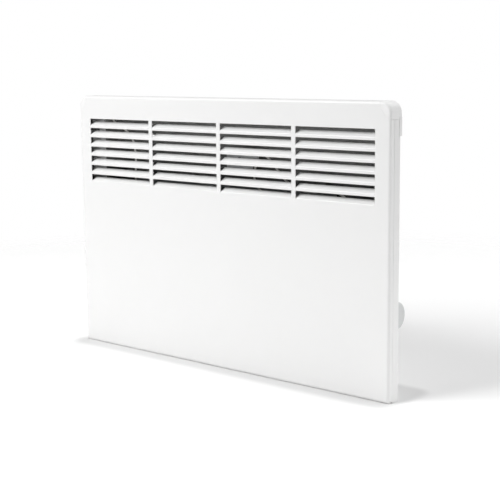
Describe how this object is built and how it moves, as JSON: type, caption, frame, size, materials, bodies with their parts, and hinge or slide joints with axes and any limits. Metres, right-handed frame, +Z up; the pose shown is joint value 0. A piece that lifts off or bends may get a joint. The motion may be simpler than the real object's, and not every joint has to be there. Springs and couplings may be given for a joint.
{
  "type": "panel convector heater",
  "caption": "Slim white panel convector heater: louvred sheet-steel front, rounded corner caps, deep rear casing, finned element and a side thermostat knob.",
  "frame": {"origin": "middle of the bottom edges, halfway between the front face and the rear wall", "axes": "+X to the right seen from the front, +Y from the front face to the rear wall, +Z up"},
  "size_m": [0.586, 0.065, 0.389],
  "materials": {
    "white_enamel": "white powder coat on steel sheet",
    "white_plastic": "moulded white plastic",
    "bright_sheet": "bright rolled sheet",
    "steel": "drawn steel",
    "fin_aluminium": "thin rolled aluminium",
    "ceramic": "unglazed steatite ceramic",
    "zinc_screw": "zinc-plated steel",
    "black_phenolic": "moulded phenolic",
    "grey_plastic": "light grey moulded plastic",
    "copper": "drawn copper",
    "black_plastic": "glossy black plastic",
    "brass": "turned brass",
    "brown_lead": "brown wire sheath",
    "white_lead": "white heat-resistant wire sheath",
    "green_lead": "green and yellow wire sheath"
  },
  "bodies": {
    "heater": {"front_panel": "white_enamel", "casing_frame": "white_enamel", "rear_panel": "white_enamel", "end_plate_left": "white_enamel", "end_plate_right": "white_enamel", "corner_cap_left": "white_plastic", "corner_cap_right": "white_plastic", "air_deflector": "bright_sheet", "bottom_stays": "white_enamel", "rear_shield": "bright_sheet", "front_shield": "bright_sheet", "element_tube": "steel", "element_fins": "fin_aluminium", "element_bush_left": "ceramic", "element_bush_right": "ceramic", "element_bracket_left": "bright_sheet", "element_bracket_right": "bright_sheet", "bracket_screws": "zinc_screw", "cutout_plate": "bright_sheet", "thermal_cutout": "black_phenolic", "cutout_screws": "zinc_screw", "bay_partition": "bright_sheet", "control_plate": "white_plastic", "plate_screws": "zinc_screw", "thermostat_body": "black_phenolic", "thermostat_nut": "zinc_screw", "sensor_bulb": "copper", "sensor_capillary": "copper", "bulb_clips": "bright_sheet", "switch_body": "black_plastic", "terminal_block": "white_plastic", "terminal_screws": "brass", "earth_screw": "brass", "cable_gland": "white_plastic", "gland_nut": "white_plastic", "gland_lock_nut": "white_plastic", "panel_posts": "bright_sheet", "panel_screws": "zinc_screw", "lead_supply_live": "brown_lead", "lead_switch_thermostat": "brown_lead", "lead_thermostat_cutout": "white_lead", "lead_cutout_element": "white_lead", "lead_element_return": "white_lead", "lead_earth": "green_lead"},
    "thermostat_dial": {"thermostat_knob": "grey_plastic", "thermostat_shaft": "steel"},
    "mains_rocker": {"switch_rocker": "black_plastic"}
  },
  "joints": [
    {"name": "thermostat_turn", "type": "hinge", "parent": "heater", "child": "thermostat_dial", "pos_m": [0.2628, 0.0115, 0.107], "axis": [-1, 0, 0], "range_deg": [0, 270]},
    {"name": "rocker_tilt", "type": "hinge", "parent": "heater", "child": "mains_rocker", "pos_m": [0.2611, 0.0115, 0.165], "axis": [0, -1, 0], "range_deg": [0, 18]}
  ]
}
